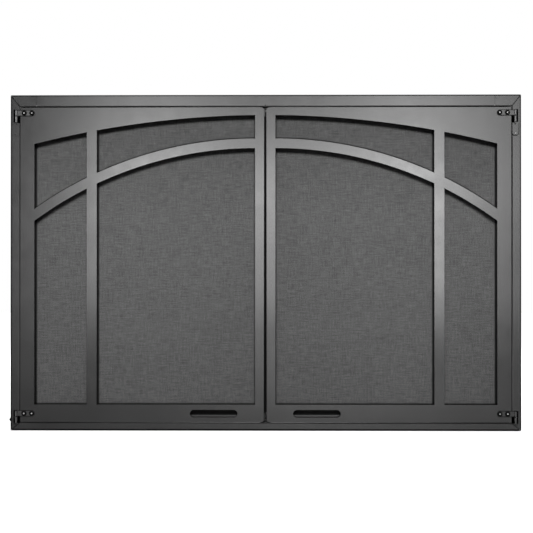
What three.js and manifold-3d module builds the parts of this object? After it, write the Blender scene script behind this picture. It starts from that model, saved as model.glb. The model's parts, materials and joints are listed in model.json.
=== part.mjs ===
// Fireplace screen: a mitred sheet-steel frame with a pair of arched mesh doors on lift-off hinges.
// Millimetres, +Z up. The front faces -Y, the bottom edge rests on z = 0, and x = 0 is the line
// where the two doors meet. The left half is drawn once, and the right half is its mirror image.
import * as THREE from "three";
import { mergeVertices } from "three/addons/utils/BufferGeometryUtils.js";
import Module from "manifold-3d";

const wasm = await Module();
wasm.setup();

// ---- Driving dimensions -------------------------------------------------------------------

const WIDTH = 1066.8; // 42 in overall
const HEIGHT = 702;
const DEPTH = 32;
const SHEET = 1.5; // frame and door sheet
const CLEARANCE = 0.3; // between pieces that touch
const MITRE_GAP = 0.5; // cut off each rail at a mitre, along the rail

const SIDE_FACE = 20; // visible widths of the frame's rails
const TOP_FACE = 25;
const BOTTOM_FACE = 16.7;
const BACK_FLANGE = 16;
const STOP_LIP = 8; // how far the rails reach behind the doors
const RAIL_END = 55.2; // from the outer edge to the seam across the top rail
const SEAM = 0.5;
const BEND_RADIUS = 0.8;
const CURVE_STEPS = 9; // half the straight steps in each arc
const SEAM_WELD = { inset: 49.3, drop: 5.5, inner: 3.6, outer: 4.4, depth: 0.8 }; // pressed ring
const SIGHT_HOLE = { drop: 3, radius: 1.2 }; // small hole in the middle of the top rail
const WALL_HOLES = { inset: 9, radius: 2.75, heights: [120, 580] }; // in the side rails' flanges
const GUSSET_ARMS = { top: [92, 62], bottom: [70, 70] }; // along the rail, and up the side
const GUSSET_TAB = 24; // height of the tab that takes the corner screw

const DOOR_GAP = 1.5; // doors to top and bottom rails
const HINGE_GAP = 0.8; // doors to side rails
const CENTRE_GAP = 4.6; // door to door
const DOOR_TRAY = 13.5; // depth of the door's folded tray
const TRAY_LIP = 13.5;
const OUTER_STILE = 29.1;
const INNER_STILE = 18.9;
const MUNTIN = 20.8;
const SMALL_LIGHT = 110.1; // width of the narrow openings beside the hinges
const LIGHT_BOTTOM = 54.6;
const CORNER_CUT_X = 4.5; // relief at the doors' meeting corners
const CORNER_CUT_Z = 3.5;
const EAR = { height: 14.6, lap: 0.5, reach: 2, front: 2, depth: 10 }; // on the left door's edge
const EDGE_NOTCH = { z: 37.5, radius: 2.3, depth: 4 }; // in the right door's edge

const TOP_ARCH = { x: 0, z: -1314, radius: 1973.7 }; // one arch over both doors
const BAR_ARCH_Z = -189; // centre of the arched bar in each door
const BAR_ARCH_RADIUS = 799.5;
const BAR_WIDTH = 20;

const PULL_LENGTH = 99.4; // obround finger pull
const PULL_HEIGHT = 16.4;
const PULL_X = 107.8;
const PULL_Z = 35.6;

const MESH_THICKNESS = 0.8;
const MESH_INSET = 4;
const RETAINER_WIDTH = 14;
const RETAINER_SHEET = 1.2;
const RETAINER_RETURN = 4; // depth of the folded edge that stiffens each retainer
const RETAINER_PLAY = 1.4; // between the shut doors' retainers and the frame's stop lips
const RIVET_INSET = 9.7; // rivets, in from the door's edges

const HINGE_INSET = 11; // hinge axis, in from the frame's outer edge
const LEAF_SHEET = 1.5;
const KNUCKLE_RADIUS = 3.65;
const PIN_RADIUS = 2;
const PIN_BORE = 2.15;
const STRAP_HEIGHT = 12.4;
const STRAP_REACH = 40; // from the hinge axis to the strap's round end
const STRAP_SCREWS = [18.2, 34.4]; // from the hinge axis
const KNUCKLE_GAP = 0.4;
const LOWER_KNUCKLE = 12.8;
const HINGE_Z = { top: 663.9, bottom: 36.3 }; // middle of each strap
const NOTCH = { width: 6.1, depth: 12, below: 1.2 }; // in the side rail, beside the lower knuckle
const LEAF_NECK = { outer: 3.1, inner: 2.2 }; // frame leaf behind its knuckle, from the axis
const LEAF_PLATE = { outer: 6.1, inner: 8.7, drop: 29, corner: 7 }; // below the top knuckles
const LEAF_HOLE = { x: 2.2, drop: 4.5, radius: 1.3 };
const LEAF_RIVET = { x: 0.9, z: 619.5, radius: 3.9, height: 2 };

const STOP_BAR_WIDTH = 22;
const STOP_BAR_DEPTH = 8;
const STOP_BAR_MARGIN = 9; // short of the frame at both ends
const MAGNET = { width: 20, height: 10, thickness: 2.7 };

const SCREW_SHANK = 1.9;
const SCREW_HOLE = 2.3;
const STRAP_HEAD = { radius: 4.7, height: 2.6 };
const CORNER_SCREW = { y: -9, z: 22.3, radius: 3.4, height: 3.4 }; // in the left rail's side
const RIVET_SHANK = 1.5;
const RIVET_HOLE = 1.9;
const RIVET_HEAD = 3.2;
const RIVET_HEIGHT = 1.4;
const SEAT = 0.1; // air under a head

// ---- Places worked out from them ----------------------------------------------------------

const HALF = WIDTH / 2;
const FRONT = -DEPTH / 2;
const BACK = DEPTH / 2;
const TRAY_BACK = FRONT + DOOR_TRAY;
const MESH_FRONT = TRAY_BACK + CLEARANCE;
const RETAINER_FRONT = MESH_FRONT + MESH_THICKNESS + CLEARANCE;
const STOP_FRONT = RETAINER_FRONT + RETAINER_SHEET + RETAINER_PLAY;
const STOP_BAR_FRONT = STOP_FRONT + SHEET + CLEARANCE;
const STOP_SCREWS = [BOTTOM_FACE + STOP_LIP / 2, HEIGHT - TOP_FACE - STOP_LIP / 2];

const DOOR_OUTER = -HALF + SIDE_FACE + HINGE_GAP;
const DOOR_INNER = -CENTRE_GAP / 2;
const DOOR_BOTTOM = BOTTOM_FACE + DOOR_GAP;
const DOOR_TOP = HEIGHT - TOP_FACE - DOOR_GAP;

const LEAF_BACK = FRONT - CLEARANCE;
const HINGE_X = -HALF + HINGE_INSET;
const HINGE_Y = LEAF_BACK - KNUCKLE_RADIUS;

// ---- Materials ----------------------------------------------------------------------------

const PAINTS = {
  frame: { color: 0x2d2d2e, roughness: 0.5, metalness: 0.35 },
  door: { color: 0x303031, roughness: 0.48, metalness: 0.35 },
  wire: { color: 0x3a3a3b, roughness: 0.6, metalness: 0.4 },
  hinge: { color: 0x29292a, roughness: 0.32, metalness: 0.5 },
  fastener: { color: 0x242425, roughness: 0.28, metalness: 0.7 },
  pin: { color: 0x8d8d8f, roughness: 0.3, metalness: 1 },
  retainer: { color: 0x2a2a2b, roughness: 0.55, metalness: 0.35 },
  magnet: { color: 0x3c3c3e, roughness: 0.45, metalness: 0.6 },
};

function part(name, paint, geometry) {
  const mesh = new THREE.Mesh(geometry, new THREE.MeshStandardMaterial(PAINTS[paint]));
  mesh.name = name;
  return mesh;
}

// ---- Joining and cutting ------------------------------------------------------------------

function toSolid(geometry) {
  const bare = geometry.clone();
  bare.deleteAttribute("normal");
  bare.deleteAttribute("uv");
  const merged = mergeVertices(bare, 1e-4);
  const vertProperties = merged.attributes.position.array;
  const triVerts = new Uint32Array(merged.index.array);
  return new wasm.Manifold(new wasm.Mesh({ numProp: 3, vertProperties, triVerts }));
}

function fromSolid(solid) {
  const { vertProperties, triVerts, numProp, numVert } = solid.getMesh();
  const positions = new Float32Array(numVert * 3);
  for (let i = 0; i < numVert; i++) {
    positions.set(vertProperties.subarray(i * numProp, i * numProp + 3), i * 3);
  }
  const geometry = new THREE.BufferGeometry();
  geometry.setAttribute("position", new THREE.BufferAttribute(positions, 3));
  geometry.setIndex(new THREE.BufferAttribute(new Uint32Array(triVerts), 1));
  geometry.computeVertexNormals();
  return geometry;
}

function join(first, ...others) {
  return fromSolid(others.reduce((sum, next) => sum.add(toSolid(next)), toSolid(first)));
}

function cut(body, ...cutters) {
  return fromSolid(cutters.reduce((rest, next) => rest.subtract(toSolid(next)), toSolid(body)));
}

// ---- Basic shapes -------------------------------------------------------------------------

// A box from its lowest to its highest corner.
function block([x0, y0, z0], [x1, y1, z1]) {
  const box = new THREE.BoxGeometry(x1 - x0, y1 - y0, z1 - z0);
  return box.translate((x0 + x1) / 2, (y0 + y1) / 2, (z0 + z1) / 2);
}

// A shape drawn in x and z, given thickness backwards from y.
function plate(shape, y, thickness) {
  const settings = { depth: thickness, bevelEnabled: false, curveSegments: CURVE_STEPS };
  const geometry = new THREE.ExtrudeGeometry(shape, settings);
  return geometry.rotateX(Math.PI / 2).translate(0, y + thickness, 0);
}

// A round bar along y.
function barY(x, z, radius, y0, y1, sides = 12) {
  return new THREE.CylinderGeometry(radius, radius, y1 - y0, sides).translate(x, (y0 + y1) / 2, z);
}

// A round bar along x.
function barX(y, z, radius, x0, x1) {
  const bar = new THREE.CylinderGeometry(radius, radius, x1 - x0, 12);
  return bar.rotateZ(Math.PI / 2).translate((x0 + x1) / 2, y, z);
}

function rectangle(x0, z0, x1, z1) {
  const corners = [[x0, z0], [x1, z0], [x1, z1], [x0, z1]];
  return new THREE.Shape(corners.map(([x, z]) => new THREE.Vector2(x, z)));
}

// A sheet folded along a path of straight runs: the outline of its edge, with rounded bends.
function foldedSheet(path, thickness) {
  const half = thickness / 2;
  const bend = BEND_RADIUS + half;
  const points = path.map(([u, v]) => new THREE.Vector2(u, v));
  const run = (i) => points[i + 1].clone().sub(points[i]).normalize();
  const normal = (d) => new THREE.Vector2(-d.y, d.x);
  const one = [points[0].clone().addScaledVector(normal(run(0)), half)];
  const other = [points[0].clone().addScaledVector(normal(run(0)), -half)];
  for (let i = 1; i < points.length - 1; i++) {
    const [before, after] = [run(i - 1), run(i)];
    const turn = Math.atan2(before.cross(after), before.dot(after));
    const way = Math.sign(turn);
    const back = bend * Math.tan(Math.abs(turn) / 2);
    const centre = points[i].clone().addScaledVector(before, -back);
    centre.addScaledVector(normal(before), way * bend);
    for (let k = 0; k <= 3; k++) {
      const across = normal(before).rotateAround(new THREE.Vector2(), (turn * k) / 3);
      one.push(centre.clone().addScaledVector(across, half - way * bend));
      other.push(centre.clone().addScaledVector(across, -half - way * bend));
    }
  }
  const last = points[points.length - 1];
  one.push(last.clone().addScaledVector(normal(run(points.length - 2)), half));
  other.push(last.clone().addScaledVector(normal(run(points.length - 2)), -half));
  return new THREE.Shape([...one, ...other.reverse()]);
}

// ---- Frame --------------------------------------------------------------------------------

// A rail drawn from its outer edge (x = 0) inwards, and run along +Z. A slope is how fast an end
// falls back, going inwards, to meet its neighbour on the mitre; 0 is a square end.
function rail(face, length, slopes, inwards = 1) {
  const middle = SHEET / 2;
  const path = [
    [BACK_FLANGE, BACK - middle],
    [middle, BACK - middle],
    [middle, FRONT + middle],
    [face - middle, FRONT + middle],
    [face - middle, STOP_FRONT + middle],
    [face + STOP_LIP, STOP_FRONT + middle],
  ];
  const shape = foldedSheet(path.map(([u, v]) => [inwards * u, v]), SHEET);
  const geometry = new THREE.ExtrudeGeometry(shape, { depth: length, bevelEnabled: false });
  const at = geometry.attributes.position;
  for (let i = 0; i < at.count; i++) {
    const inset = Math.abs(at.getX(i));
    const start = slopes[0] ? inset * slopes[0] + MITRE_GAP : 0;
    const end = slopes[1] ? length - inset * slopes[1] - MITRE_GAP : length;
    at.setZ(i, at.getZ(i) < length / 2 ? start : end);
  }
  return geometry;
}

// A round hole through a rail at its own x and z, where it crosses y.
function railHole(x, y, z, radius) {
  return barY(x, z, radius, y - 2 * SHEET, y + 2 * SHEET);
}

function topRail() {
  const length = WIDTH - 2 * RAIL_END;
  const stopHole = railHole(TOP_FACE + STOP_LIP / 2, STOP_FRONT, length / 2, RIVET_HOLE);
  const sightHole = railHole(TOP_FACE - SIGHT_HOLE.drop, FRONT, length / 2, SIGHT_HOLE.radius);
  const geometry = cut(rail(TOP_FACE, length, [0, 0]), stopHole, sightHole);
  const mesh = part("top_rail", "frame", geometry);
  mesh.rotation.y = Math.PI / 2;
  mesh.position.set(-length / 2, 0, HEIGHT);
  return mesh;
}

function bottomRail() {
  const slope = SIDE_FACE / BOTTOM_FACE;
  const stopHole = railHole(-BOTTOM_FACE - STOP_LIP / 2, STOP_FRONT, HALF, RIVET_HOLE);
  const geometry = cut(rail(BOTTOM_FACE, WIDTH, [slope, slope], -1), stopHole);
  const mesh = part("bottom_rail", "frame", geometry);
  mesh.rotation.y = Math.PI / 2;
  mesh.position.set(-HALF, 0, 0);
  return mesh;
}

// The mitred piece of top rail between the corner and the seam, with a spot weld near the seam.
function topRailEnd(side) {
  const length = RAIL_END - SEAM;
  const { inset, drop, inner, outer, depth } = SEAM_WELD;
  const disc = barY(drop, inset, outer, FRONT - 1, FRONT + depth, 32);
  const ring = cut(disc, barY(drop, inset, inner, FRONT - 2, FRONT + 2, 32));
  const geometry = cut(rail(TOP_FACE, length, [SIDE_FACE / TOP_FACE, 0]), ring);
  const mesh = part(`top_rail_${side}_end`, "frame", geometry);
  mesh.rotation.y = Math.PI / 2;
  mesh.position.set(-HALF, 0, HEIGHT);
  return mesh;
}

// The side rail, with a notch beside each lower knuckle and screw holes in the back flange.
function sideRail(side) {
  const slopes = [BOTTOM_FACE / SIDE_FACE, TOP_FACE / SIDE_FACE];
  const notches = Object.values(HINGE_Z).map((z) => {
    const top = z - STRAP_HEIGHT / 2 - CLEARANCE;
    const low = [SIDE_FACE - NOTCH.width, FRONT - 1, top - LOWER_KNUCKLE - NOTCH.below];
    return block(low, [SIDE_FACE + 1, FRONT + NOTCH.depth, top]);
  });
  const { inset, radius, heights } = WALL_HOLES;
  const holes = heights.map((z) => barY(inset, z, radius, BACK - 2 * SHEET, BACK + 1));
  if (side === "left") holes.push(cornerHole(0));
  const geometry = cut(rail(SIDE_FACE, HEIGHT, slopes), ...notches, ...holes);
  const mesh = part(`${side}_rail`, "frame", geometry);
  mesh.position.x = -HALF;
  return mesh;
}

// The corner screw's hole, in line with a wall at x.
function cornerHole(x) {
  return barX(CORNER_SCREW.y, CORNER_SCREW.z, SCREW_HOLE, x - 2 * SHEET, x + 3 * SHEET);
}

// A flat corner plate welded behind the mitre, on the back flanges. The bottom left one has a
// side tab, which takes the corner screw.
function gusset(side, level) {
  const width = BACK_FLANGE - SHEET - 2 * CLEARANCE;
  const [along, up] = GUSSET_ARMS[level];
  const outer = SHEET + CLEARANCE;
  const outline = [
    [outer, outer],
    [along, outer],
    [along, outer + width],
    [outer + width, outer + width],
    [outer + width, up],
    [outer, up],
  ];
  const place = ([u, v]) => new THREE.Vector2(-HALF + u, level === "top" ? HEIGHT - v : v);
  const front = BACK - 2 * SHEET - CLEARANCE;
  const flat = plate(new THREE.Shape(outline.map(place)), front, SHEET);
  const name = `${level}_${side}_gusset`;
  if (level === "top" || side === "right") return part(name, "frame", flat);
  const tabX = -HALF + outer;
  const [low, high] = [CORNER_SCREW.z - GUSSET_TAB / 2, CORNER_SCREW.z + GUSSET_TAB / 2];
  const tabFront = FRONT + SHEET + CLEARANCE;
  const tab = block([tabX, tabFront, low], [tabX + SHEET, front + SHEET / 2, high]);
  return part(name, "frame", cut(join(flat, tab), cornerHole(tabX)));
}

// A channel behind the gap between the doors, which they shut against, screwed to the stop lips.
function centreStopBar() {
  const half = STOP_BAR_WIDTH / 2;
  const middle = SHEET / 2;
  const back = STOP_BAR_FRONT + STOP_BAR_DEPTH;
  const path = [
    [middle - half, back],
    [middle - half, STOP_BAR_FRONT + middle],
    [half - middle, STOP_BAR_FRONT + middle],
    [half - middle, back],
  ];
  const length = HEIGHT - 2 * STOP_BAR_MARGIN;
  const settings = { depth: length, bevelEnabled: false };
  const bar = new THREE.ExtrudeGeometry(foldedSheet(path, SHEET), settings);
  bar.translate(0, 0, STOP_BAR_MARGIN);
  const holes = STOP_SCREWS.map((z) => barY(0, z, SCREW_HOLE, STOP_BAR_FRONT - 1, back));
  return part("centre_stop_bar", "frame", cut(bar, ...holes));
}

// A flat magnet on the front of the stop bar, just clear of a stop lip.
function magnet(level) {
  const lowest = BOTTOM_FACE + STOP_LIP + 1;
  const highest = HEIGHT - TOP_FACE - STOP_LIP - 1;
  const low = level === "bottom" ? lowest : highest - MAGNET.height;
  const back = STOP_BAR_FRONT - CLEARANCE;
  const x = MAGNET.width / 2;
  const body = block([-x, back - MAGNET.thickness, low], [x, back, low + MAGNET.height]);
  return part(`${level}_magnet`, "magnet", body);
}

// ---- Fasteners ----------------------------------------------------------------------------

// A domed head with its shank, standing on z = 0 with the shank below.
function fastener(headRadius, headHeight, shankRadius, shankLength) {
  const profile = [[0, -shankLength], [shankRadius, -shankLength], [shankRadius, 0], [headRadius, 0]];
  for (let k = 1; k < 4; k++) {
    const angle = (k / 4) * (Math.PI / 2);
    profile.push([headRadius * Math.cos(angle) ** 0.7, headHeight * Math.sin(angle) ** 0.8]);
  }
  profile.push([0, headHeight]);
  const points = profile.map(([r, h]) => new THREE.Vector2(r, h));
  return new THREE.LatheGeometry(points, 12).rotateX(Math.PI / 2);
}

// A pan-head screw or a rivet, put where it belongs with its head facing the way given.
function placed(name, geometry, [x, y, z], facing) {
  const mesh = part(name, "fastener", geometry);
  mesh.position.set(x, y, z);
  mesh.quaternion.setFromUnitVectors(new THREE.Vector3(0, 0, 1), new THREE.Vector3(...facing));
  return mesh;
}

const rivet = (length) => fastener(RIVET_HEAD, RIVET_HEIGHT, RIVET_SHANK, length);

function stopBarScrew(index) {
  const seat = STOP_BAR_FRONT + SHEET + CLEARANCE;
  const name = `stop_bar_${index ? "top" : "bottom"}_screw`;
  return placed(name, rivet(4), [0, seat, STOP_SCREWS[index]], [0, 1, 0]);
}

function cornerScrew(side) {
  const { y, z, radius, height } = CORNER_SCREW;
  const body = fastener(radius, height, SCREW_SHANK, 9);
  return placed(`${side}_corner_screw`, body, [-HALF - SEAT, y, z], [-1, 0, 0]);
}

// ---- Hinges -------------------------------------------------------------------------------

function knuckle(z0, z1) {
  const ring = new THREE.Shape().absarc(0, 0, KNUCKLE_RADIUS, 0, 2 * Math.PI);
  ring.holes.push(new THREE.Path().absarc(0, 0, PIN_BORE, 0, 2 * Math.PI, true));
  const settings = { depth: z1 - z0, bevelEnabled: false, curveSegments: CURVE_STEPS };
  return new THREE.ExtrudeGeometry(ring, settings).translate(HINGE_X, HINGE_Y, z0);
}

// The door's leaf: a strap with a round end, two screw holes and the upper knuckle.
function doorLeaf(side, level) {
  const z = HINGE_Z[level];
  const half = STRAP_HEIGHT / 2;
  const strap = new THREE.Shape();
  strap.moveTo(HINGE_X, z - half);
  strap.lineTo(HINGE_X + STRAP_REACH - half, z - half);
  strap.absarc(HINGE_X + STRAP_REACH - half, z, half, -Math.PI / 2, Math.PI / 2);
  strap.lineTo(HINGE_X, z + half);
  const flat = plate(strap, LEAF_BACK - LEAF_SHEET, LEAF_SHEET);
  const holes = STRAP_SCREWS.map((x) => barY(HINGE_X + x, z, SCREW_HOLE, FRONT - 4, FRONT));
  const body = cut(join(flat, knuckle(z - half, z + half)), ...holes);
  return part(`${side}_door_${level}_leaf`, "hinge", body);
}

// The frame's leaf: the lower knuckle on its plate. The top plates hang down the side rail.
function frameLeaf(side, level) {
  const top = HINGE_Z[level] - STRAP_HEIGHT / 2 - KNUCKLE_GAP;
  const bottom = top - LOWER_KNUCKLE;
  const [left, right] = [HINGE_X - LEAF_NECK.outer, HINGE_X + LEAF_NECK.inner];
  const front = LEAF_BACK - LEAF_SHEET;
  const shape = new THREE.Shape();
  shape.moveTo(right, top);
  shape.lineTo(left, top);
  if (level === "top") {
    const [wide, reach] = [HINGE_X - LEAF_PLATE.outer, HINGE_X + LEAF_PLATE.inner];
    const low = bottom - LEAF_PLATE.drop;
    shape.lineTo(left, bottom);
    shape.lineTo(wide, bottom - LEAF_NECK.outer);
    shape.lineTo(wide, low + LEAF_PLATE.corner);
    shape.quadraticCurveTo(wide, low, (wide + reach) / 2, low);
    shape.quadraticCurveTo(reach, low, reach, low + LEAF_PLATE.corner);
    shape.lineTo(reach, bottom - LEAF_NECK.inner);
    shape.lineTo(right, bottom - LEAF_NECK.inner);
  } else {
    shape.lineTo(left, bottom - 1);
    shape.absarc((left + right) / 2, bottom - 1, (right - left) / 2, Math.PI, 2 * Math.PI);
  }
  const body = join(plate(shape, front, LEAF_SHEET), knuckle(bottom, top));
  const name = `${side}_frame_${level}_leaf`;
  if (level === "bottom") return part(name, "hinge", body);
  const drill = (x, z, radius) => barY(HINGE_X + x, z, radius, front - 1, LEAF_BACK + 1);
  const rivetHole = drill(LEAF_RIVET.x, LEAF_RIVET.z, RIVET_HOLE);
  const smallHole = drill(LEAF_HOLE.x, bottom - LEAF_HOLE.drop, LEAF_HOLE.radius);
  return part(name, "hinge", cut(body, rivetHole, smallHole));
}

function leafRivet(side) {
  const { x, z, radius, height } = LEAF_RIVET;
  const head = fastener(radius, height, RIVET_SHANK, LEAF_SHEET + SEAT);
  return placed(`${side}_leaf_rivet`, head, [HINGE_X + x, LEAF_BACK - LEAF_SHEET - SEAT, z], [0, -1, 0]);
}

// The pin, pointed at the top so that the door drops on to it.
function hingePin(side, level) {
  const bottom = HINGE_Z[level] - STRAP_HEIGHT / 2 - KNUCKLE_GAP - LOWER_KNUCKLE + 1;
  const top = HINGE_Z[level] + STRAP_HEIGHT / 2 - 1;
  const profile = [
    [0, bottom],
    [PIN_RADIUS, bottom],
    [PIN_RADIUS, top - 0.4 * PIN_RADIUS],
    [PIN_RADIUS * 0.6, top],
    [0, top],
  ];
  const points = profile.map(([r, h]) => new THREE.Vector2(r, h));
  const geometry = new THREE.LatheGeometry(points, 20).rotateX(Math.PI / 2);
  const pin = part(`${side}_${level}_hinge_pin`, "pin", geometry);
  pin.position.set(HINGE_X, HINGE_Y, 0);
  return pin;
}

// ---- Doors --------------------------------------------------------------------------------

// The height of an arch at x.
function archAt({ x, z, radius }, at) {
  return z + Math.sqrt(radius ** 2 - (at - x) ** 2);
}

// Draws an arch from the pen's place to another x.
function archTo(path, arch, from, to) {
  const angle = (at) => Math.acos((at - arch.x) / arch.radius);
  path.absarc(arch.x, arch.z, arch.radius, angle(from), angle(to), to > from);
}

// One opening: straight sides, with a level or arched bottom and an arched top.
function light(x0, x1, floor, ceiling) {
  const path = new THREE.Path();
  const low = (x) => (typeof floor === "number" ? floor : archAt(floor, x));
  path.moveTo(x0, low(x0));
  if (typeof floor !== "number") archTo(path, floor, x0, x1);
  path.lineTo(x1, low(x1));
  path.lineTo(x1, archAt(ceiling, x1));
  archTo(path, ceiling, x1, x0);
  path.lineTo(x0, low(x0));
  return path;
}

// The four openings: the arched bar and the muntin cross.
function lights() {
  const barTop = { x: DOOR_INNER - INNER_STILE, z: BAR_ARCH_Z, radius: BAR_ARCH_RADIUS };
  const barBottom = { ...barTop, radius: BAR_ARCH_RADIUS - BAR_WIDTH };
  const hingeSide = DOOR_OUTER + OUTER_STILE;
  const muntin = hingeSide + SMALL_LIGHT;
  const columns = [[hingeSide, muntin], [muntin + MUNTIN, DOOR_INNER - INNER_STILE]];
  return columns.flatMap(([x0, x1]) => [
    light(x0, x1, LIGHT_BOTTOM, barBottom),
    light(x0, x1, barTop, TOP_ARCH),
  ]);
}

function fingerPull() {
  const radius = PULL_HEIGHT / 2;
  const reach = PULL_LENGTH / 2 - radius;
  const path = new THREE.Path();
  path.absarc(-PULL_X + reach, PULL_Z, radius, -Math.PI / 2, Math.PI / 2);
  path.absarc(-PULL_X - reach, PULL_Z, radius, Math.PI / 2, 1.5 * Math.PI);
  path.closePath();
  return path;
}

// A rectangle set in from the door's edges.
function doorRectangle(inset) {
  return rectangle(DOOR_OUTER + inset, DOOR_BOTTOM + inset, DOOR_INNER - inset, DOOR_TOP - inset);
}

// The folded tray: a pierced face, its side walls and the lip that the mesh is held to.
function doorSkin(side) {
  const face = doorRectangle(0);
  face.holes.push(...lights(), fingerPull());
  const wall = doorRectangle(0);
  wall.holes.push(doorRectangle(SHEET));
  const lip = doorRectangle(0);
  lip.holes.push(doorRectangle(TRAY_LIP));
  const pieces = [
    plate(face, FRONT, SHEET),
    plate(wall, FRONT, DOOR_TRAY),
    plate(lip, TRAY_BACK - SHEET, SHEET),
  ];
  if (side === "left") pieces.push(...edgeTabs());
  const cuts = [cornerRelief(DOOR_TOP, -1), cornerRelief(DOOR_BOTTOM, 1)];
  cuts.push(...strapHoles(), ...retainerRivets().map(rivetDrill));
  if (side === "right") {
    const { z, radius, depth } = EDGE_NOTCH;
    cuts.push(barY(DOOR_INNER, z, radius, FRONT - 1, FRONT + depth, 20));
  }
  return part(`${side}_door_skin`, "door", cut(join(...pieces), ...cuts));
}

// Ears of the tray's top and bottom walls, lapped over the wall at the meeting edge.
function edgeTabs() {
  const corner = CORNER_CUT_Z + EAR.lap;
  const { height, lap, reach, front, depth } = EAR;
  return [DOOR_BOTTOM + corner, DOOR_TOP - corner - height].map((z) => {
    const low = [DOOR_INNER - lap, FRONT + front, z];
    return block(low, [DOOR_INNER + reach, FRONT + front + depth, z + height]);
  });
}

function cornerRelief(edge, way) {
  const corner = new THREE.Shape();
  corner.moveTo(DOOR_INNER + 1, edge - way);
  corner.lineTo(DOOR_INNER - CORNER_CUT_X, edge - way);
  corner.lineTo(DOOR_INNER - CORNER_CUT_X, edge);
  corner.lineTo(DOOR_INNER, edge + way * CORNER_CUT_Z);
  corner.lineTo(DOOR_INNER + 1, edge + way * CORNER_CUT_Z);
  return plate(corner, FRONT - 1, DOOR_TRAY + 2);
}

function strapHoles() {
  const drill = (x, z) => barY(HINGE_X + x, z, SCREW_HOLE, FRONT - 1, FRONT + 3);
  return Object.values(HINGE_Z).flatMap((z) => STRAP_SCREWS.map((x) => drill(x, z)));
}

function meshPanel(side) {
  const panel = plate(doorRectangle(MESH_INSET), MESH_FRONT, MESH_THICKNESS);
  return part(`${side}_mesh_panel`, "wire", cut(panel, ...retainerRivets().map(rivetDrill)));
}

// Four flat strips with a folded inner edge clamp the mesh to the tray's lip.
function retainer(side, edge) {
  const [x0, x1] = [DOOR_OUTER + MESH_INSET, DOOR_INNER - MESH_INSET];
  const [z0, z1] = [DOOR_BOTTOM + MESH_INSET, DOOR_TOP - MESH_INSET];
  const [wide, joint] = [RETAINER_WIDTH, CLEARANCE];
  const foldBack = RETAINER_FRONT + RETAINER_RETURN;
  const flatBack = RETAINER_FRONT + RETAINER_SHEET;
  const foldEnd = x1 - wide - joint; // clear of the stop bar
  const strips = {
    bottom: [[x0, z0, x1, z0 + wide], [x0 + wide, z0 + wide - RETAINER_SHEET, foldEnd, z0 + wide]],
    top: [[x0, z1 - wide, x1, z1], [x0 + wide, z1 - wide, foldEnd, z1 - wide + RETAINER_SHEET]],
    outer: [
      [x0, z0 + wide + joint, x0 + wide, z1 - wide - joint],
      [x0 + wide - RETAINER_SHEET, z0 + wide + joint, x0 + wide, z1 - wide - joint],
    ],
    inner: [
      [x1 - wide, z0 + wide + joint, x1, z1 - wide - joint],
      [x1 - wide, z0 + wide + joint, x1 - wide + RETAINER_SHEET, z1 - wide - joint],
    ],
  };
  const [flat, fold] = strips[edge];
  const body = join(
    block([flat[0], RETAINER_FRONT, flat[1]], [flat[2], flatBack, flat[3]]),
    block([fold[0], RETAINER_FRONT, fold[1]], [fold[2], foldBack, fold[3]]),
  );
  const name = `${side}_mesh_${edge}_retainer`;
  return part(name, "retainer", cut(body, ...retainerRivets().map(rivetDrill)));
}

// Half way along each strip, where a rivet goes through strip, mesh and lip.
function retainerRivets() {
  const [midX, midZ] = [(DOOR_OUTER + DOOR_INNER) / 2, (DOOR_BOTTOM + DOOR_TOP) / 2];
  return [
    { edge: "bottom", x: midX, z: DOOR_BOTTOM + RIVET_INSET },
    { edge: "top", x: midX, z: DOOR_TOP - RIVET_INSET },
    { edge: "outer", x: DOOR_OUTER + RIVET_INSET, z: midZ },
    { edge: "inner", x: DOOR_INNER - RIVET_INSET, z: midZ },
  ];
}

const rivetDrill = ({ x, z }) => barY(x, z, RIVET_HOLE, TRAY_BACK - 3, RETAINER_FRONT + 3);

function retainerRivet(side, { edge, x, z }) {
  const seat = RETAINER_FRONT + RETAINER_SHEET + SEAT;
  return placed(`${side}_mesh_${edge}_rivet`, rivet(seat - TRAY_BACK + SHEET), [x, seat, z], [0, 1, 0]);
}

function strapScrew(side, level, index) {
  const at = [HINGE_X + STRAP_SCREWS[index], LEAF_BACK - LEAF_SHEET - SEAT, HINGE_Z[level]];
  const name = `${side}_${level}_strap_screw_${index + 1}`;
  const body = fastener(STRAP_HEAD.radius, STRAP_HEAD.height, SCREW_SHANK, 6.5);
  return placed(name, body, at, [0, -1, 0]);
}

// Everything that swings, in a group that turns about the hinge pins.
function door(side) {
  const swing = new THREE.Group();
  swing.position.set(HINGE_X, HINGE_Y, 0);
  const panel = new THREE.Group();
  panel.position.set(-HINGE_X, -HINGE_Y, 0);
  panel.add(doorSkin(side), meshPanel(side));
  for (const edge of ["top", "bottom", "outer", "inner"]) panel.add(retainer(side, edge));
  for (const spot of retainerRivets()) panel.add(retainerRivet(side, spot));
  for (const level of ["top", "bottom"]) {
    panel.add(doorLeaf(side, level), strapScrew(side, level, 0), strapScrew(side, level, 1));
  }
  swing.add(panel);
  return swing;
}

// ---- Assembly -----------------------------------------------------------------------------

const screen = new THREE.Group();
screen.add(topRail(), bottomRail(), centreStopBar());
screen.add(magnet("top"), magnet("bottom"), stopBarScrew(0), stopBarScrew(1));
for (const side of ["left", "right"]) {
  const half = new THREE.Group();
  half.scale.x = side === "left" ? 1 : -1;
  half.add(sideRail(side), topRailEnd(side), leafRivet(side));
  if (side === "left") half.add(cornerScrew(side));
  for (const level of ["top", "bottom"]) {
    half.add(gusset(side, level), frameLeaf(side, level), hingePin(side, level));
  }
  half.add(door(side));
  screen.add(half);
}

export default screen;
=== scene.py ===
"""Looks of the fireplace screen: a satin charcoal frame and two arched doors with wire mesh.
Metres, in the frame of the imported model: +Z up, the front faces -Y."""
import json
import math

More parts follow.
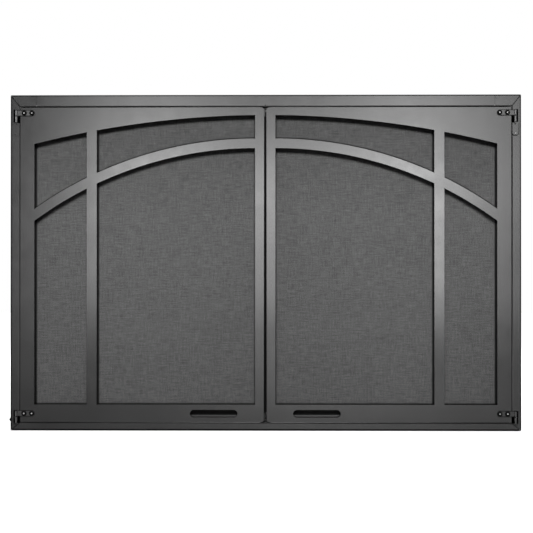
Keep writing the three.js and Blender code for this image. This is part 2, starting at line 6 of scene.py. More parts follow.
import bpy
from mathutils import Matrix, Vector

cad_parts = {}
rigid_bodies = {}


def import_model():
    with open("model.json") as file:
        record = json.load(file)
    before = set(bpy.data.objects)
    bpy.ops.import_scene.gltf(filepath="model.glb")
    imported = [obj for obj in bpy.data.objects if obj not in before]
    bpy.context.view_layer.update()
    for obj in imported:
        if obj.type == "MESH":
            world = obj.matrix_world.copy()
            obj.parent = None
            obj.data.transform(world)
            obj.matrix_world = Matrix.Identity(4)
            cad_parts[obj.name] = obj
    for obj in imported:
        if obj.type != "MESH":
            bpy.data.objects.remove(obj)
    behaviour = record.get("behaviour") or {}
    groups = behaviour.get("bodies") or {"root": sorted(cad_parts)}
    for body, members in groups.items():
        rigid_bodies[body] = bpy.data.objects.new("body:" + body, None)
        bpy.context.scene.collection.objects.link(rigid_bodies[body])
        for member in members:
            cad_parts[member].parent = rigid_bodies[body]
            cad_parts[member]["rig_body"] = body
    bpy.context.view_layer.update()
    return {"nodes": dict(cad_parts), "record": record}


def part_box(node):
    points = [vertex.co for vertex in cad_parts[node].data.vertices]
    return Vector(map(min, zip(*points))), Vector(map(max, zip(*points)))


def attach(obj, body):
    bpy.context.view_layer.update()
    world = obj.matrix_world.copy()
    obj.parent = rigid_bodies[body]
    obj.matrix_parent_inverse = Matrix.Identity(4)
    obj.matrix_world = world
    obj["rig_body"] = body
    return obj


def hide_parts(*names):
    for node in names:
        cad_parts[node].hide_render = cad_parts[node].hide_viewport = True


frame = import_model()
NODES = frame["nodes"]
SIDES = ("left", "right")
LEVELS = ("top", "bottom")
MM = 0.001

FACE_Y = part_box("left_rail")[0].y
SCREEN_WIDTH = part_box("right_rail")[1].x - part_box("left_rail")[0].x
SCREEN_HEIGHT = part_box("top_rail")[1].z

# ---- Camera, lights and floor -------------------------------------------------------------

VIEW_DISTANCE = 2.2  # from the middle of the frame's face
WIDTH_SHARE = 0.9588  # of the picture's width that the frame fills
VIEW_RIGHT = math.radians(0.6)  # the camera stands this far round to the right
VIEW_LOW = math.radians(0.2)  # and this far below level
AIM_LOW = 7.9 * MM  # the line of sight passes this far below the screen's middle
AIM_RIGHT = 2.6 * MM  # and this far to the right of it
ROOM = 0.012  # brightness of the dim room around the screen


def in_scene(name, data):
    """A new object in the scene."""
    made = bpy.data.objects.new(name, data)
    bpy.context.scene.collection.objects.link(made)
    return made


def look_from(thing, place, target):
    """Puts a camera or lamp in its place, turned to its target."""
    thing.location = place
    thing.rotation_euler = (Vector(target) - Vector(place)).to_track_quat("-Z", "Y").to_euler()


def build_camera():
    data = bpy.data.cameras.new("camera")
    data.sensor_width = 36
    data.lens = data.sensor_width * VIEW_DISTANCE * WIDTH_SHARE / SCREEN_WIDTH
    aim = Vector((AIM_RIGHT, FACE_Y, SCREEN_HEIGHT / 2 - AIM_LOW))
    back = Vector((math.sin(VIEW_RIGHT), -math.cos(VIEW_RIGHT), -math.sin(VIEW_LOW)))
    camera = in_scene("camera", data)
    look_from(camera, aim + back.normalized() * VIEW_DISTANCE, aim)
    bpy.context.scene.camera = camera


def area_light(name, place, target, size, power):
    data = bpy.data.lights.new(name, "AREA")
    data.shape = "RECTANGLE"
    data.size, data.size_y = size
    data.energy = power
    lamp = in_scene(name, data)
    look_from(lamp, place, target)
    return lamp


def build_lights():
    """A key light high behind the camera, and a weak one behind the screen, out of the gloss."""
    area_light("key", place=(0, -4.6, 3.6), target=(0, 0, 0.4), size=(3.2, 1.5), power=400)
    back = area_light("back", place=(0.4, 1.9, 1.3), target=(0, 0, 0.35), size=(1.6, 0.9), power=40)
    back.visible_glossy = False


GLOWS = (
    (-0.118, 0.075, 0.066, 0.105, 6.9),  # tall, on the left
    (0.121, 0.018, 0.03, 0.102, 7.4),  # tall and narrow, on the right
    (0.06, 0.07, 0.148, 0.036, 7.9),  # a level band above the middle
    (0.049, -0.02, 0.204, 0.03, 4.2),  # a longer band below it
    (0.131, 0.153, 0.112, 0.056, 3.6),  # high on the right
)  # across, up, half width, half height and strength of what the coat's gloss reflects in front
FLOOR_GLOW = ((0.178, -1.5), (0.39, 1.5), 1.0)  # middle, half sizes and strength, in the gloss
BEHIND = 0.5  # strength of what the gloss reflects from behind the screen
FLOOR_HALF = 6  # half the floor's width
FLOOR_DROP = 0.2 * MM  # the floor lies this far below the bottom rail


def build_world():
    """White behind everything, a dim room, and in the gloss soft glows in front."""
    world = bpy.data.worlds.new("studio")
    world.use_nodes = True
    made = Nodes(world.node_tree)
    ray = made.add("ShaderNodeLightPath")
    way = made.add("ShaderNodeTexCoord").outputs["Generated"]
    depth = made.axes(way)[1]
    lobes = []
    for across, up, width, height, strength in GLOWS:
        lobes.append((made.lobe(way, (across, 0, up), (1 / width, 0, 1 / height)), strength))
    ahead = made.fold("MULTIPLY", made.total(*lobes), made.math("LESS_THAN", depth, 0))
    around = made.fold("ADD", ahead, made.spread(depth, 0, BEHIND, (0, 0.5)))
    glow = made.fold("MULTIPLY", around, ray.outputs["Is Glossy Ray"])
    white = made.fold("MULTIPLY", ray.outputs["Is Camera Ray"], 1 - ROOM)
    seen = made.tree.nodes["Background"]
    seen.inputs["Color"].default_value = (1, 1, 1, 1)
    made.feed(seen.inputs["Strength"], made.fold("ADD", glow, white, ROOM))
    bpy.context.scene.world = world


def build_floor():
    """Pale to the camera, and dim in what the screen reflects, but for a glow in front."""
    mesh = bpy.data.meshes.new("floor")
    corners = [(-1, -1), (1, -1), (1, 1), (-1, 1)]
    mesh.from_pydata([(x * FLOOR_HALF, y * FLOOR_HALF, 0) for x, y in corners], [], [(0, 1, 2, 3)])
    floor = in_scene("floor", mesh)
    floor.location.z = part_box("bottom_rail")[0].z - FLOOR_DROP
    made = Coat("floor")
    made.set("Base Color", (0.8, 0.8, 0.8, 1))
    made.set("Roughness", 0.9)
    made.set("Emission Color", (1, 1, 1, 1))
    away = made.vector("LENGTH", made.place, (0, 0, 0), "Value")
    made.set("Emission Strength", made.spread(away, 0.55, 0.97, (0.5, 2.0)))
    mesh.materials.append(made.material)

    ray = made.add("ShaderNodeLightPath")
    dim = made.add("ShaderNodeBsdfPrincipled")
    pale = made.spread(ray.outputs["Is Diffuse Ray"], 0.3, 0.1, (0, 1))
    made.feed(dim.inputs["Base Color"], made.grey(pale))
    dim.inputs["Specular IOR Level"].default_value = 0
    (across, out), (width, depth), strength = FLOOR_GLOW
    lobe = made.lobe(made.place, (across, out, 0), (1 / width, 1 / depth, 0))
    ahead = made.fold("MULTIPLY", lobe, strength)
    behind = made.spread(made.axes(made.place)[1], 0, BEHIND, (0.05, 0.3))
    glow = made.fold("MULTIPLY", made.fold("ADD", ahead, behind), ray.outputs["Is Glossy Ray"])
    dim.inputs["Emission Color"].default_value = (1, 1, 1, 1)
    made.feed(dim.inputs["Emission Strength"], glow)

    mix = made.add("ShaderNodeMixShader")
    made.link(ray.outputs["Is Camera Ray"], mix.inputs["Fac"])
    made.link(dim.outputs["BSDF"], mix.inputs[1])
    made.link(made.shader.outputs["BSDF"], mix.inputs[2])
    made.link(mix.outputs["Shader"], made.tree.nodes["Material Output"].inputs["Surface"])


# ---- Material nodes -----------------------------------------------------------------------


class Nodes:
    """A node tree, with short calls to add and join nodes."""

    def __init__(self, tree):
        self.tree = tree

    def add(self, kind, **settings):
        node = self.tree.nodes.new(kind)
        for key, value in settings.items():
            setattr(node, key, value)
        return node

    def link(self, output, socket):
        self.tree.links.new(output, socket)

    def feed(self, socket, value):
        """Joins an output to a socket, or sets it to a constant."""
        if isinstance(value, bpy.types.NodeSocket):
            self.link(value, socket)
        else:
            socket.default_value = value

    def axes(self, vector):
        node = self.add("ShaderNodeSeparateXYZ")
        self.link(vector, node.inputs["Vector"])
        return node.outputs["X"], node.outputs["Y"], node.outputs["Z"]

    def math(self, operation, a, b=0.0):
        node = self.add("ShaderNodeMath", operation=operation)
        self.feed(node.inputs[0], a)
        self.feed(node.inputs[1], b)
        return node.outputs["Value"]

    def vector(self, operation, a, b, output="Vector"):
        node = self.add("ShaderNodeVectorMath", operation=operation)
        self.feed(node.inputs[0], a)
        self.feed(node.inputs[1], b)
        return node.outputs[output]

    def fold(self, operation, *values):
        """All the values joined by one operation."""
        result, *others = values
        for value in others:
            result = self.math(operation, result, value)
        return result

    def total(self, *pairs):
        """The sum of values times their weights."""
        return self.fold("ADD", *[self.math("MULTIPLY", value, weight) for value, weight in pairs])

    def gap(self, a, b):
        return self.math("ABSOLUTE", self.math("SUBTRACT", a, b))

    def length(self, a, b):
        """The long side over two short ones."""
        squares = [self.math("MULTIPLY", side, side) for side in (a, b)]
        return self.math("SQRT", self.fold("ADD", *squares))

    def lobe(self, vector, centre, scale):
        """A soft spot: 1 at its centre, and falling off as fast as the scale is large."""
        offset = self.vector("SUBTRACT", vector, centre)
        scaled = self.vector("MULTIPLY", offset, scale)
        return self.math("POWER", math.exp(-1), self.vector("DOT_PRODUCT", scaled, scaled, "Value"))

    def spread(self, value, low, high, source=(0.3, 0.7)):
        """A value carried from its source range to low..high."""
        node = self.add("ShaderNodeMapRange")
        node.inputs["From Min"].default_value, node.inputs["From Max"].default_value = source
        node.inputs["To Min"].default_value = low
        node.inputs["To Max"].default_value = high
        self.link(value, node.inputs["Value"])
        return node.outputs["Result"]


class Coat(Nodes):
    """A material's nodes around its shader."""

    def __init__(self, name):
        self.material = bpy.data.materials.new(name)
        self.material.use_nodes = True
        super().__init__(self.material.node_tree)
        self.shader = self.tree.nodes["Principled BSDF"]
        self.place = self.add("ShaderNodeTexCoord").outputs["Object"]

    def set(self, name, value):
        self.feed(self.shader.inputs[name], value)

    def noise(self, scale, detail=2.0, stretch=(1, 1, 1)):
        """Noise in object space; a larger stretch packs the pattern tighter along that axis."""
        mapping = self.add("ShaderNodeMapping")
        mapping.inputs["Scale"].default_value = stretch
        self.link(self.place, mapping.inputs["Vector"])
        node = self.add("ShaderNodeTexNoise")
        node.inputs["Scale"].default_value = scale
        node.inputs["Detail"].default_value = detail
        self.link(mapping.outputs["Vector"], node.inputs["Vector"])
        return node.outputs["Fac"]

    def grey(self, value):
        """A neutral colour of that value."""
        node = self.add("ShaderNodeCombineColor")
        for channel in ("Red", "Green", "Blue"):
            self.feed(node.inputs[channel], value)
        return node.outputs["Color"]

    def bump(self, height, distance):
        node = self.add("ShaderNodeBump")
        node.inputs["Distance"].default_value = distance
        self.link(height, node.inputs["Height"])
        self.set("Normal", node.outputs["Normal"])


# ---- Materials ----------------------------------------------------------------------------

SHEEN = 0.9  # specular level of the coat


def powder_coat(name, grey, roughness, shading):
    """Satin powder coat: faint clouds, fine grain and orange peel. Shading makes a factor that
    dims it in places."""
    made = Coat(name)
    clouds = made.total((made.noise(9, 3), 0.6), (made.noise(900), 0.4))
    shade = made.spread(clouds, grey * 0.86, grey * 1.14)
    factor = shading(made)
    made.set("Base Color", made.grey(made.fold("MULTIPLY", shade, factor)))
    made.set("Specular IOR Level", made.fold("MULTIPLY", factor, SHEEN))
    made.set("Roughness", made.spread(made.noise(35, 3), roughness - 0.025, roughness + 0.025))
    made.bump(made.noise(650), 0.012 * MM)
    return made.material


SIDE_FACE = 20 * MM  # widths of the faces that meet on the mitres
TOP_FACE = 25 * MM
BOTTOM_FACE = 16.7 * MM
DARK = 0.05  # painted shade: what is left of the coat's brightness at the outer bends, and under the right upper hinge plate
DARK_BEND = (2.5 * MM, 3.1 * MM)  # from the outer edge: dark up to the first, gone by the second
LEFT_EXTRA = 0.5 * MM  # the dark edge is this much wider on the left
BOTTOM_EXTRA = 1 * MM  # and this much at the bottom
DARK_MITRE = (1 * MM, 1.7 * MM)  # from a mitre's line: dark up to the first, gone by the second
UPPER_MITRE = 0.15  # brightness left by the painted shade on the mitres
LOWER_MITRE = 0.5
DARK_PLATE = (1 * MM, 3 * MM)  # painted shade under a hinge plate, from its outline: light, and dark


def outline(made):
    """Painted shade at the face's outer bends and along its mitres, which turn away from the light,
    and under the right upper hinge plate.
    """
    x, y, z = made.axes(made.place)
    side = made.math("SUBTRACT", SCREEN_WIDTH / 2, made.math("ABSOLUTE", x))
    left = made.math("ADD", x, SCREEN_WIDTH / 2 - LEFT_EXTRA)
    top = made.math("SUBTRACT", SCREEN_HEIGHT, z)
    bottom = made.math("SUBTRACT", z, BOTTOM_EXTRA)
    bends = made.spread(made.fold("MINIMUM", side, left, top, bottom), DARK, 1, DARK_BEND)
    upper = mitre(made, side, top, TOP_FACE, UPPER_MITRE)
    lower = mitre(made, side, z, BOTTOM_FACE, LOWER_MITRE)
    plate = made.spread(plate_inset(made, x, z), 1, DARK, DARK_PLATE)
    factor = made.fold("MULTIPLY", bends, upper, lower, plate)
    return made.math("MAXIMUM", factor, behind_face(made, y))


def mitre(made, side, end, face, shade):
    """Painted shade along the line on which a side face meets a level one."""
    off = made.gap(end, made.fold("MULTIPLY", side, face / SIDE_FACE))
    seam = made.spread(off, shade, 1, DARK_MITRE)
    beyond = made.spread(side, 0, 1, (SIDE_FACE, SIDE_FACE + 0.1 * MM))
    return made.math("MAXIMUM", seam, beyond)


def behind_face(made, y):
    """0 on the face's sheet, and 1 behind it."""
    return made.spread(y, 0, 1, (FACE_Y + 1.5 * MM, FACE_Y + 2.5 * MM))


MEETING_EDGE = 3.3 * MM  # how far from the middle the painted shade at the doors' inner bends reaches, at the floor
MEETING_TAPER = 1.4 * MM  # and how much less for each metre up


def meeting_edge(made):
    """Painted shade at the doors' inner bends, the more so the lower down."""
    x, y, z = made.axes(made.place)
    reach = made.total((made.math("ABSOLUTE", x), 1), (z, MEETING_TAPER))
    factor = made.spread(reach, 0.1, 1, (MEETING_EDGE, MEETING_EDGE + 0.3 * MM))
    return made.math("MAXIMUM", factor, behind_face(made, y))


def even(made):
    """Hardly any shading."""
    return made.spread(made.noise(20), 0.95, 1)


PLATE_CORNER = 7 * MM  # corner radius of the upper hinge plates


def plate_inset(made, x, z):
    """How far inside the right upper hinge plate's outline a place lies."""
    low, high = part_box("right_frame_top_leaf")
    middle, half = (low + high) / 2, (high - low) / 2 - Vector((1, 1, 1)) * PLATE_CORNER
    over = []
    for place, centre, room in ((x, middle.x, half.x), (z, middle.z, half.z)):
        over.append(made.math("MAXIMUM", made.math("SUBTRACT", made.gap(place, centre), room), 0))
    return made.math("SUBTRACT", PLATE_CORNER, made.length(*over))


OPENINGS = {row["name"]: row["box_m"] for row in frame["record"]["physics"]["openings"]}
LIGHTS = ("right_narrow_light_lower", "right_wide_light_lower")
MARGIN = 0.5 * MM  # the record's openings lie this far inside the cut ones
SHADE_INNER = 1.6 * MM  # reach of the painted shade behind an opening's side nearer the middle
SHADE_OUTER = 3.2 * MM  # and behind its other side
SHADE_ABOVE_SILL = (0.6 * MM, 2.8 * MM)  # painted shade above an opening's lower edge: dark, and gone
EDGE_SHADE = 0.08  # painted shade: brightness left behind the openings' sides, at their sills and over the bars
SILL_SHADE = 0.1
BAR_SHADE = 0.15
HEIGHT_SHADES = (((0.08, 0.42), 1.12, 0.86), ((0.44, 0.62), 1, 0.74))  # painted shade, darker towards the top: heights, and shades at them
BAR_CENTRE = -189 * MM  # height of the centre of the bars' arches
BAR_LINE = 802.7 * MM  # radius of the line of painted shade that shows over each bar


def painted_recess_shade(made):
    """Painted shade where the mesh runs behind the edges of the openings, above their sills and
    over each bar, and painted shade growing towards the top.
    """
    x, _, z = made.axes(made.place)
    across = made.math("ABSOLUTE", x)
    factors = [made.spread(z, low, high, heights) for heights, low, high in HEIGHT_SHADES]
    for name in LIGHTS:
        low, high = OPENINGS[name]
        for edge, reach in ((low[0] - MARGIN, SHADE_INNER), (high[0] + MARGIN, SHADE_OUTER)):
            off = made.gap(across, edge)
            factors.append(made.spread(off, EDGE_SHADE, 1, (0.5 * reach, 1.4 * reach)))
    side, _, sill = (value - MARGIN for value in OPENINGS[LIGHTS[1]][0])
    factors.append(made.spread(z, SILL_SHADE, 1, [sill + rise for rise in SHADE_ABOVE_SILL]))
    away = made.length(made.math("SUBTRACT", across, side), made.math("SUBTRACT", z, BAR_CENTRE))
    above = made.spread(away, BAR_SHADE, 1, (BAR_LINE, BAR_LINE + 2 * MM))
    below = made.spread(away, 1, 0, (BAR_LINE - 3.5 * MM, BAR_LINE - 2.5 * MM))
    return made.fold("MULTIPLY", *factors, made.math("MAXIMUM", above, below))


STREAK = (44, 520)  # how tight the wires' shade changes along them, and across them


def wire_paint(name, grey):
    """Painted wire, whose shade drifts along the wires, as in linen."""
    made = Coat(name)
    along, over = STREAK
    level = made.noise(1, 2, (along, along, over))
    upright = made.noise(1, 2, (over, along, along))
    broad, fine = made.noise(12), made.noise(480, 1)
    cloth = made.total((level, 0.37), (upright, 0.3), (broad, 0.07), (fine, 0.26))
    shade = made.spread(cloth, grey * 0.65, grey * 1.35, (0.38, 0.62))
    # painted shade darkens the wires behind the openings' edges, over the bars and towards the top
    made.set("Base Color", made.grey(made.fold("MULTIPLY", shade, painted_recess_shade(made))))
    made.set("Roughness", made.spread(made.noise(700), 0.55, 0.65))
    made.set("Specular IOR Level", 0.15)
    made.bump(made.noise(1800), 0.01 * MM)
    return made.material


PIN_X = (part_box("right_top_hinge_pin")[0].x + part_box("right_top_hinge_pin")[1].x) / 2
KNUCKLE_X = PIN_X - 4.2 * MM  # the knuckles start here
KNUCKLE_Y = FACE_Y - 2.6 * MM  # and their fronts stand out past here
CROWN_X = PIN_X - 2.5 * MM  # a painted highlight runs down the knuckles along this line
CROWN_HALF = 1.1 * MM
KNUCKLE_SHADE = 0.06  # brightness left on the knuckles
HIGHLIGHT_GREY = 0.27  # and how bright and rough the knuckles are along their painted highlight
HIGHLIGHT_ROUGHNESS = 0.4
RIM_SHADE = 0.1  # brightness left by the painted shade along the straps' edges and round their screws


def hinge_paint(name, edges, sheen=SHEEN):
    """Satin black, dark on the knuckles, with a painted highlight down their crowns that is weaker
    on the lower hinges. Edges makes a factor that paints shade along the leaves' rims."""
    made = Coat(name)
    x, y, z = made.axes(made.place)
    across = made.math("ABSOLUTE", x)
    outboard = made.spread(across, 0, 1, (KNUCKLE_X, KNUCKLE_X + 0.2 * MM))
    proud = made.spread(y, 1, 0, (KNUCKLE_Y, KNUCKLE_Y + 0.4 * MM))
    knuckle = made.fold("MULTIPLY", outboard, proud)
    crown = made.spread(made.gap(across, CROWN_X), 1, 0, (CROWN_HALF, CROWN_HALF + 0.4 * MM))
    # the painted highlight is weaker on the lower hinges
    upwards = made.spread(z, 0.45, 1, (0.1, 0.6))
    painted_highlight = made.fold("MULTIPLY", knuckle, crown, upwards, strap_rims(made, z))
    factor = made.fold("MULTIPLY", made.spread(knuckle, 1, KNUCKLE_SHADE, (0, 1)), edges(made))
    grain = made.noise(400)
    coat = made.fold("MULTIPLY", made.spread(grain, 0.018, 0.022), factor)
    highlight_tone = made.spread(painted_highlight, 0, HIGHLIGHT_GREY, (0, 1))
    made.set("Base Color", made.grey(made.fold("ADD", coat, highlight_tone)))
    rough = made.spread(painted_highlight, 0.14, HIGHLIGHT_ROUGHNESS, (0, 1))
    made.set("Roughness", made.total((grain, 0.04), (rough, 1)))
    made.set("Specular IOR Level", made.fold("MULTIPLY", factor, sheen))
    made.bump(made.noise(900), 0.008 * MM)
    return made.material


def strap_rims(made, z):
    """Painted shade along the straps' upper and lower edges."""
    rims = []
    for level in LEVELS:
        low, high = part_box(f"right_door_{level}_leaf")
        off = made.gap(made.gap(z, (low.z + high.z) / 2), (high.z - low.z) / 2)
        rims.append(made.spread(off, RIM_SHADE, 1, (0.8 * MM, 1.6 * MM)))
    return made.fold("MULTIPLY", *rims)


SCREW_RING = (5.3 * MM, 5.9 * MM)  # painted shade round a strap screw: from its middle, dark up to the first


def strap_edges(made):
    """Painted shade along the straps' edges and round their screws' heads."""
    x, _, z = made.axes(made.place)
    factors = [strap_rims(made, z)]
    for level in LEVELS:
        for number in (1, 2):
            low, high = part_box(f"right_{level}_strap_screw_{number}")
            middle = (low + high) / 2
            across = made.math("SUBTRACT", made.math("ABSOLUTE", x), middle.x)
            away = made.length(across, made.math("SUBTRACT", z, middle.z))
            factors.append(made.spread(away, RIM_SHADE, 1, SCREW_RING))
    return made.fold("MULTIPLY", *factors)


def plate_edges(made):
    """Painted shade just inside the outline of the frame leaves' plates."""
    x, _, z = made.axes(made.place)
    inset = plate_inset(made, x, z)
    rim = made.spread(inset, 0.15, 1, (0.7 * MM, 1.6 * MM))
    beyond = made.spread(inset, 1, 0, (-0.6 * MM, -0.5 * MM))
    return made.math("MAXIMUM", rim, beyond)


def rubbed_rivet(name, node):
    """Gloss black, with a painted highlight on its upper half."""
    made = Coat(name)
    low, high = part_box(node)
    _, _, z = made.axes(made.place)
    middle = (low.z + high.z) / 2
    painted_top_light = made.spread(z, 0.002, 0.6, (middle - 0.6 * MM, middle + 0.6 * MM))
    grain = made.spread(made.noise(300), 0.85, 1.15)
    made.set("Base Color", made.grey(made.fold("MULTIPLY", painted_top_light, grain)))
    made.set("Roughness", made.spread(made.noise(220), 0.3, 0.4))
    made.set("Specular IOR Level", 0.3)
    made.bump(made.noise(900), 0.006 * MM)
    return made.material


def plain_coat(name, grey=0.008, roughness=0.2, gloss=SHEEN):
    """An even coat: gloss black, or as grey, rough and glossy as is said."""
    made = Coat(name)
    made.set("Base Color", made.grey(made.spread(made.noise(120, 3), grey * 0.8, grey * 1.3)))
    made.set("Roughness", made.spread(made.noise(220), roughness - 0.03, roughness + 0.05))
    made.set("Specular IOR Level", gloss)
    made.bump(made.noise(900), 0.006 * MM)
    return made.material


def bare_steel(name, grey, roughness):
    """Bright steel, with fine marks round it from turning."""
    made = Coat(name)
    streak = made.noise(1, 3, (500, 500, 2500))
    made.set("Base Color", made.grey(made.spread(streak, grey * 0.8, grey * 1.2)))
    made.set("Roughness", made.spread(streak, roughness - 0.05, roughness + 0.08))
    made.set("Metallic", 1.0)
    made.bump(made.noise(1200), 0.01 * MM)
    return made.material


# ---- Shapes -------------------------------------------------------------------------------


class Shape:
    """Points and faces that gather into one piece."""

    def __init__(self):
        self.points, self.faces, self.paints, self.smooth = [], [], [], []

    def face(self, corners, paint=0, smooth=True):
        self.faces.append(corners)
        self.paints.append(paint)
        self.smooth.append(smooth)

    def box(self, low, high):
        base = len(self.points)
        for x in (low[0], high[0]):
            for y in (low[1], high[1]):
                for z in (low[2], high[2]):
                    self.points.append((x, y, z))
        sides = ((0, 1, 3, 2), (4, 6, 7, 5), (0, 4, 5, 1), (2, 3, 7, 6), (0, 2, 6, 4), (1, 5, 7, 3))
        for corners in sides:
            self.face([base + i for i in corners], smooth=False)

    def wire(self, start, end, radius, sides=6):
        """A closed straight wire."""
        axis = (end - start).normalized()
        across = axis.orthogonal().normalized()
        other = axis.cross(across)
        base = len(self.points)
        for place in (start, end):
            for k in range(sides):
                angle = 2 * math.pi * k / sides
                arm = math.cos(angle) * across + math.sin(angle) * other
                self.points.append(place + radius * arm)
        for k in range(sides):
            step = (k + 1) % sides
            self.face([base + k, base + step, base + sides + step, base + sides + k])
        self.face([base + k for k in reversed(range(sides))], smooth=False)
        self.face([base + sides + k for k in range(sides)], smooth=False)

    def turned(self, profile, place, facing, sides=48, drop=None, paints=None):
        """A closed form turned about the way it faces, from (radius, height) pairs that start
        and end on the axis. Drop lowers a point, given its radius and angle."""
        turn = Vector((0, 0, 1)).rotation_difference(Vector(facing)).to_matrix()
        rings = []
        for radius, height in profile:
            count = sides if radius else 1
            rings.append(range(len(self.points), len(self.points) + count))
            for k in range(count):
                angle = 2 * math.pi * k / sides
                low = drop(radius, angle) if drop and height > 0 else 0
                local = Vector((radius * math.cos(angle), radius * math.sin(angle), height - low))
                self.points.append(Vector(place) + turn @ local)
        for inner, outer, place_on in zip(rings, rings[1:], profile[1:]):
            paint = paints(*place_on) if paints else 0
            for k in range(sides):
                step = (k + 1) % sides
                corners = [inner[k % len(inner)], outer[k % len(outer)], outer[step % len(outer)]]
                if len(inner) > 1 and len(outer) > 1:
                    corners.append(inner[step])
                elif len(outer) == 1:
                    corners = [inner[k], outer[0], inner[step]]
                self.face(corners, paint)

    def piece(self, name, body, slot, materials):
        mesh = bpy.data.meshes.new(name)
        mesh.from_pydata(self.points, [], self.faces)
        for material in materials:
            mesh.materials.append(material)
        mesh.polygons.foreach_set("material_index", self.paints)
        mesh.polygons.foreach_set("use_smooth", self.smooth)
        mesh.update()
        made = in_scene(name, mesh)
        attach(made, body)
        return made


def dress(name, material, rounding=0.0, segments=2):
    """Gives a carried-over node its material, and rounds its sheet edges."""
    node = NODES[name]
    node.data.materials.clear()
    node.data.materials.append(material)
    node.data.polygons.foreach_set("use_smooth", [True] * len(node.data.polygons))
    if not rounding:
        return
    flats = node.modifiers.new("flats", "DECIMATE")
    flats.decimate_type = "DISSOLVE"
    flats.angle_limit = math.radians(0.5)
    edges = node.modifiers.new("edges", "BEVEL")
    edges.width = rounding
    edges.segments = segments
    edges.limit_method = "ANGLE"
    edges.angle_limit = math.radians(40)
    edges.harden_normals = True


# ---- Mesh panels --------------------------------------------------------------------------

WIRE_PITCH = 1.6 * MM
WIRE_RADIUS = 0.3 * MM
WEAVE = 0.08 * MM  # uprights in front of the middle, level wires behind it
GROUND = 0.1 * MM  # half the thickness of the dark ground between the wires, a sheet that stands in for the shade behind the mesh


def wire_mesh(side, paint, ground):
    low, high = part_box(f"{side}_mesh_panel")
    middle = (low.y + high.y) / 2
    cloth = Shape()
    for i in range(int((high.x - low.x) / WIRE_PITCH)):
        start = Vector((low.x + WIRE_PITCH * (i + 0.5), middle - WEAVE, low.z))
        cloth.wire(start, start + Vector((0, 0, high.z - low.z)), WIRE_RADIUS)
    for i in range(int((high.z - low.z) / WIRE_PITCH)):
        start = Vector((low.x, middle + WEAVE, low.z + WIRE_PITCH * (i + 0.5)))
        cloth.wire(start, start + Vector((high.x - low.x, 0, 0)), WIRE_RADIUS)
    piece = cloth.piece(f"{side}_wire_cloth", f"{side}_door", "wire_mesh", [paint])
    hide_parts(f"{side}_mesh_panel")
    # a dark sheet behind the wires, standing in for the shade behind the mesh
    back = Shape()
    back.box((low.x, middle - GROUND, low.z), (high.x, middle + GROUND, high.z))
    back.piece(f"{side}_wire_ground", f"{side}_door", "wire_mesh", [ground])


# ---- Fasteners ----------------------------------------------------------------------------

STRAP_HEAD = 2.6 * MM  # heights of the heads
CORNER_HEAD = 3.4 * MM
PLATE_HEAD = 2 * MM
RIVET_HEAD = 1.4 * MM
RIVET_RADIUS = 3.2 * MM
SHANK = 0.42  # radius of a shank, as a share of the head's
RETAINER_END = 14 * MM  # the outermost rivets' distance from a retainer's ends
RIVETS_EACH_WAY = {"top": 2, "bottom": 2, "outer": 3, "inner": 3}  # from a retainer's middle one
RECESS_DEPTH = 1.3 * MM
RECESS_ARM = (0.3 * MM, 0.6 * MM)  # half widths of an arm's floor and of its mouth
RECESS_REACH = (1.3 * MM, 2.3 * MM)  # where an arm's floor ends, and where its mouth does
DRIVE_RADIUS = 1.6 * MM  # the paint is worn off the head within this; the bare zinc there also carries a painted highlight


def smooth_step(value, low, high):
    share = min(1, max(0, (value - low) / (high - low)))
    return share * share * (3 - 2 * share)


def cross_recess(radius, angle):
    """How far the cross-shaped drive recess sinks at a place on a screw's head."""
    x, y = abs(radius * math.cos(angle)), abs(radius * math.sin(angle))
    arm = 1 - smooth_step(min(x, y), *RECESS_ARM)
    return RECESS_DEPTH * arm * (1 - smooth_step(max(x, y), *RECESS_REACH))


def domed(radius, height, rim, rings):
    """Half the outline of a domed head, from its crown to its rim."""
    shares = [i / rings for i in range(rings)]
    steps = [(radius * share, rim + (height - rim) * math.sqrt(1 - share ** 2)) for share in shares]
    return steps + [(radius, rim * 0.9), (radius, rim * 0.3), (radius - rim * 0.3, 0)]


def wear_and_highlight_drive(radius, height):
    """Which of a screw's two materials a place on it has."""
    return 1 if height > 0 and radius < DRIVE_RADIUS else 0


def fastener(node, facing, height, materials, recess=False):
    """A finely turned head and shank in the place of a plain one."""
    low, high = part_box(node)
    size = high - low
    facing = Vector(facing)
    along = abs(size.dot(facing))
    radius = min(size) / 2
    seat = (low + high) / 2 + facing * (along / 2 - height)
    shank = radius * SHANK
    made = Shape()
    stem = [(shank, 0), (shank, height - along), (0, height - along)]
    if recess:
        profile = domed(radius, height, rim=0.5 * MM, rings=24) + stem
        made.turned(profile, seat, facing, drop=cross_recess, paints=wear_and_highlight_drive)
    else:
        made.turned(domed(radius, height, rim=0.35 * MM, rings=12) + stem, seat, facing)
    piece = made.piece(node + "_turned", NODES[node]["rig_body"], "fastener", materials)
    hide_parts(node)


def extra_rivets(side, material):
    """Rows of small rivets along the mesh retainers, between the carried-over ones."""
    made = Shape()
    for edge in RIVETS_EACH_WAY:
        low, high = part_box(f"{side}_mesh_{edge}_rivet")
        middle = (low + high) / 2
        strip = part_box(f"{side}_mesh_{edge}_retainer")
        along = 0 if edge in ("top", "bottom") else 2
        reach = (strip[1][along] - strip[0][along]) / 2 - RETAINER_END
        count = RIVETS_EACH_WAY[edge]
        for i in range(-count, count + 1):
            if i == 0:
                continue
            seat = Vector((middle.x, high.y - RIVET_HEAD, middle.z))
            seat[along] += reach * i / count
            profile = domed(RIVET_RADIUS, RIVET_HEAD, rim=0.3 * MM, rings=10) + [(0, 0)]
            made.turned(profile, seat, (0, 1, 0), sides=32)
    made.piece(f"{side}_retainer_rivets", f"{side}_door", "fastener", [material])


# ---- Assembly -----------------------------------------------------------------------------

build_camera()
build_lights()
build_world()
build_floor()
bpy.context.scene.view_settings.view_transform = "Standard"

LEFT_SHEEN = 1.7  # painted light: the left straps get a glossier copy of the strap coat, so they catch more light than the right ones
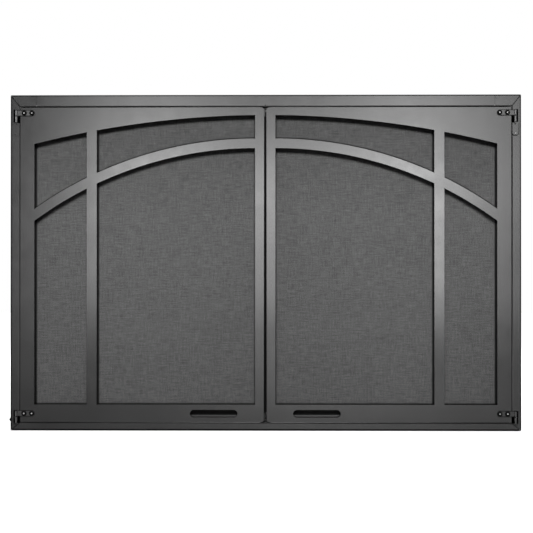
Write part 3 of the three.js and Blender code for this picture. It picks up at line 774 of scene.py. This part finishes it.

frame_coat = powder_coat("frame_coat", grey=0.02, roughness=0.16, shading=outline)
door_coat = powder_coat("door_coat", grey=0.02, roughness=0.16, shading=meeting_edge)
retainer_coat = powder_coat("retainer_coat", grey=0.022, roughness=0.45, shading=even)
strap_coats = {
    "left": hinge_paint("left_strap_coat", strap_edges, LEFT_SHEEN),
    "right": hinge_paint("strap_coat", strap_edges),
}
leaf_coat = hinge_paint("leaf_coat", plate_edges)
wire_coat = wire_paint("wire_coat", grey=0.2)
# the dark ground behind the wires stands in for the shade behind the mesh
wire_ground = wire_paint("wire_ground", grey=0.07)
matt_black = plain_coat("matt_black", grey=0.004, roughness=0.6, gloss=0.1)
rivet_black = plain_coat("rivet_black")
screw_black = plain_coat("screw_black", grey=0.002, roughness=0.4, gloss=0.08)
# bare zinc in the drive, made bright as a painted highlight too
drive_zinc = plain_coat("drive_zinc", grey=0.55, roughness=0.45, gloss=0.5)
pin_steel = bare_steel("pin_steel", grey=0.5, roughness=0.25)
ferrite = plain_coat("ferrite", grey=0.03, roughness=0.6, gloss=0.2)
# the right leaf's rivet, with a painted highlight on its upper half
painted_top_light = rubbed_rivet("rubbed_rivet", "right_leaf_rivet")

for name in sorted(NODES):
    if "hinge_pin" in name:
        dress(name, pin_steel)
    elif name.endswith("_leaf"):
        side = name.split("_")[0]
        dress(name, strap_coats[side] if "door" in name else leaf_coat, rounding=0.25 * MM)
    elif name == "centre_stop_bar":
        dress(name, matt_black, rounding=0.3 * MM)
    elif "magnet" in name:
        dress(name, ferrite, rounding=0.3 * MM)
    elif "retainer" in name:
        dress(name, retainer_coat, rounding=0.3 * MM)
    elif "skin" in name:
        dress(name, door_coat, rounding=0.4 * MM, segments=3)
    elif "strap_screw" in name:
        fastener(name, (0, -1, 0), STRAP_HEAD, [screw_black, drive_zinc], recess=True)
    elif name == "left_corner_screw":
        fastener(name, (-1, 0, 0), CORNER_HEAD, [screw_black])
    elif "leaf_rivet" in name:
        fastener(name, (0, -1, 0), PLATE_HEAD, [painted_top_light if "right" in name else frame_coat])
    elif "screw" in name or "rivet" in name:
        fastener(name, (0, 1, 0), RIVET_HEAD, [rivet_black])
    elif "mesh_panel" not in name:
        dress(name, frame_coat, rounding=0.15 * MM)

for side in SIDES:
    wire_mesh(side, wire_coat, wire_ground)
    extra_rivets(side, rivet_black)
